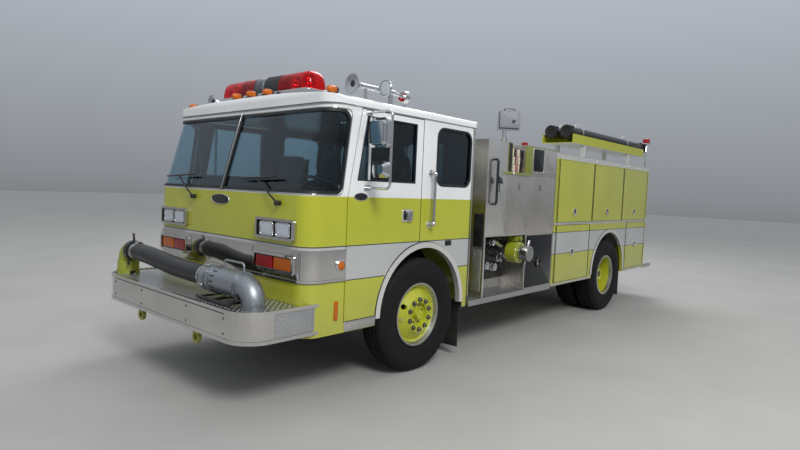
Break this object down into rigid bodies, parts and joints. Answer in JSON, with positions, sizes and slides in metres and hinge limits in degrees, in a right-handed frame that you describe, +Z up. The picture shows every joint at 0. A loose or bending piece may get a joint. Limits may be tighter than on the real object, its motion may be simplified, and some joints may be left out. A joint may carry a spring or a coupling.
{
  "type": "fire engine",
  "caption": "Two-axle cab-forward pumper fire engine with a front suction hose, pump panel, roof equipment and hinged locker doors.",
  "frame": {"origin": "on the ground under the middle of the vehicle's overall box", "axes": "+Z up, -Y towards the cab's front, +X to the driver's side (the vehicle's left)"},
  "size_m": [3, 8.36, 2.7598],
  "materials": {
    "black_plastic": "matt black",
    "black_steel": "satin black paint",
    "canvas": "woven hose jacket",
    "chrome": "mirror polished",
    "glass": "clear, slightly grey",
    "iron": "dark cast iron",
    "lens": "clear, red and amber lenses",
    "paint_lime": "gloss lime-yellow enamel",
    "paint_two_tone": "gloss enamel, white above the belt and lime below",
    "paint_white": "gloss white enamel",
    "rubber": "matt black rubber",
    "stainless": "brushed stainless",
    "tread_plate": "bright diamond plate",
    "tyre": "matt black tyre rubber",
    "vinyl": "black vinyl"
  },
  "bodies": {
    "root": {"bumper": "chrome", "bumper_deck": "tread_plate", "cab_floor": "black_steel", "cab_front": "paint_two_tone", "cab_glass": "glass", "cab_rear": "paint_two_tone", "cab_roof": "paint_white", "cab_sides": "paint_two_tone", "crosslay_hose": "canvas", "dashboard": "black_plastic", "frame": "black_steel", "front_arches": "paint_lime", "front_axle": "iron", "front_band": "stainless", "handrails": "chrome", "hose_bed": "tread_plate", "lamps": "lens", "lightbar": "lens", "lockers_left": "paint_lime", "lockers_right": "paint_lime", "mud_flaps": "rubber", "power_train": "iron", "pump_fittings": "chrome", "pump_module": "stainless", "rear_axle": "iron", "roof_horns": "chrome", "seats": "vinyl", "step_boards": "tread_plate", "suction_fittings": "chrome", "suction_hoses": "rubber", "suction_rack": "tread_plate", "windscreen_rubber": "rubber", "wipers": "black_steel"},
    "knuckle_left": {"knuckle_left": "iron"},
    "wheel_front_left": {"tyre_front_left": "tyre", "wheel_front_left": "paint_lime"},
    "wheel_rear_left": {"tyres_rear_left": "tyre", "wheels_rear_left": "paint_lime"},
    "cab_door_left": {"cab_door_left": "paint_two_tone", "door_glass_left": "glass", "mirrors_left": "stainless"},
    "locker_door_upper_1_left": {"locker_door_upper_1_left": "paint_lime"},
    "locker_door_upper_2_left": {"locker_door_upper_2_left": "paint_lime"},
    "locker_door_upper_3_left": {"locker_door_upper_3_left": "paint_lime"},
    "locker_door_lower_front_left": {"locker_door_lower_front_left": "paint_lime"},
    "locker_door_lower_rear_left": {"locker_door_lower_rear_left": "paint_lime"},
    "knuckle_right": {"knuckle_right": "iron"},
    "wheel_front_right": {"tyre_front_right": "tyre", "wheel_front_right": "paint_lime"},
    "wheel_rear_right": {"tyres_rear_right": "tyre", "wheels_rear_right": "paint_lime"},
    "cab_door_right": {"cab_door_right": "paint_two_tone", "door_glass_right": "glass", "mirrors_right": "stainless"},
    "locker_door_upper_1_right": {"locker_door_upper_1_right": "paint_lime"},
    "locker_door_upper_2_right": {"locker_door_upper_2_right": "paint_lime"},
    "locker_door_upper_3_right": {"locker_door_upper_3_right": "paint_lime"},
    "locker_door_lower_front_right": {"locker_door_lower_front_right": "paint_lime"},
    "locker_door_lower_rear_right": {"locker_door_lower_rear_right": "paint_lime"},
    "floodlight": {"floodlight": "stainless"}
  },
  "joints": [
    {"name": "steer_left", "type": "hinge", "parent": "root", "child": "knuckle_left", "pos_m": [0.88, -2.235, 0.543], "axis": [0, 0, 1], "range_deg": [-35, 35]},
    {"name": "front_wheel_left", "type": "hinge", "parent": "knuckle_left", "child": "wheel_front_left", "pos_m": [1.06, -2.235, 0.543], "axis": [1, 0, 0], "continuous": true},
    {"name": "rear_wheels_left", "type": "hinge", "parent": "root", "child": "wheel_rear_left", "pos_m": [0.907, 2.215, 0.543], "axis": [1, 0, 0], "continuous": true},
    {"name": "cab_door_left", "type": "hinge", "parent": "root", "child": "cab_door_left", "pos_m": [1.226, -3.239, 1.5], "axis": [0, 0, -1], "range_deg": [0, 75]},
    {"name": "locker_door_upper_1_left", "type": "hinge", "parent": "root", "child": "locker_door_upper_1_left", "pos_m": [1.226, 0.976, 2.2], "axis": [0, -1, 0], "range_deg": [0, 95]},
    {"name": "locker_door_upper_2_left", "type": "hinge", "parent": "root", "child": "locker_door_upper_2_left", "pos_m": [1.226, 2.0915, 2.2], "axis": [0, -1, 0], "range_deg": [0, 95]},
    {"name": "locker_door_upper_3_left", "type": "hinge", "parent": "root", "child": "locker_door_upper_3_left", "pos_m": [1.226, 3.2005, 2.2], "axis": [0, -1, 0], "range_deg": [0, 95]},
    {"name": "locker_door_lower_front_left", "type": "hinge", "parent": "root", "child": "locker_door_lower_front_left", "pos_m": [1.226, 1.48, 0.968], "axis": [0, 0, 1], "range_deg": [0, 100]},
    {"name": "locker_door_lower_rear_left", "type": "hinge", "parent": "root", "child": "locker_door_lower_rear_left", "pos_m": [1.226, 3.745, 0.968], "axis": [0, 0, 1], "range_deg": [0, 100]},
    {"name": "steer_right", "type": "hinge", "parent": "root", "child": "knuckle_right", "pos_m": [-0.88, -2.235, 0.543], "axis": [0, 0, 1], "range_deg": [-35, 35]},
    {"name": "front_wheel_right", "type": "hinge", "parent": "knuckle_right", "child": "wheel_front_right", "pos_m": [-1.06, -2.235, 0.543], "axis": [1, 0, 0], "continuous": true},
    {"name": "rear_wheels_right", "type": "hinge", "parent": "root", "child": "wheel_rear_right", "pos_m": [-0.907, 2.215, 0.543], "axis": [1, 0, 0], "continuous": true},
    {"name": "cab_door_right", "type": "hinge", "parent": "root", "child": "cab_door_right", "pos_m": [-1.226, -3.239, 1.5], "axis": [0, 0, 1], "range_deg": [0, 75]},
    {"name": "locker_door_upper_1_right", "type": "hinge", "parent": "root", "child": "locker_door_upper_1_right", "pos_m": [-1.226, 0.976, 2.2], "axis": [0, 1, 0], "range_deg": [0, 95]},
    {"name": "locker_door_upper_2_right", "type": "hinge", "parent": "root", "child": "locker_door_upper_2_right", "pos_m": [-1.226, 2.0915, 2.2], "axis": [0, 1, 0], "range_deg": [0, 95]},
    {"name": "locker_door_upper_3_right", "type": "hinge", "parent": "root", "child": "locker_door_upper_3_right", "pos_m": [-1.226, 3.2005, 2.2], "axis": [0, 1, 0], "range_deg": [0, 95]},
    {"name": "locker_door_lower_front_right", "type": "hinge", "parent": "root", "child": "locker_door_lower_front_right", "pos_m": [-1.226, 1.48, 0.968], "axis": [0, 0, -1], "range_deg": [0, 100]},
    {"name": "locker_door_lower_rear_right", "type": "hinge", "parent": "root", "child": "locker_door_lower_rear_right", "pos_m": [-1.226, 3.745, 0.968], "axis": [0, 0, -1], "range_deg": [0, 100]},
    {"name": "floodlight_raise", "type": "slide", "parent": "root", "child": "floodlight", "axis": [0, 0, 1], "range_m": [0, 0.8]}
  ],
  "couplings": [
    {"joint": "steer_right", "follows": "steer_left", "ratio": 1}
  ]
}
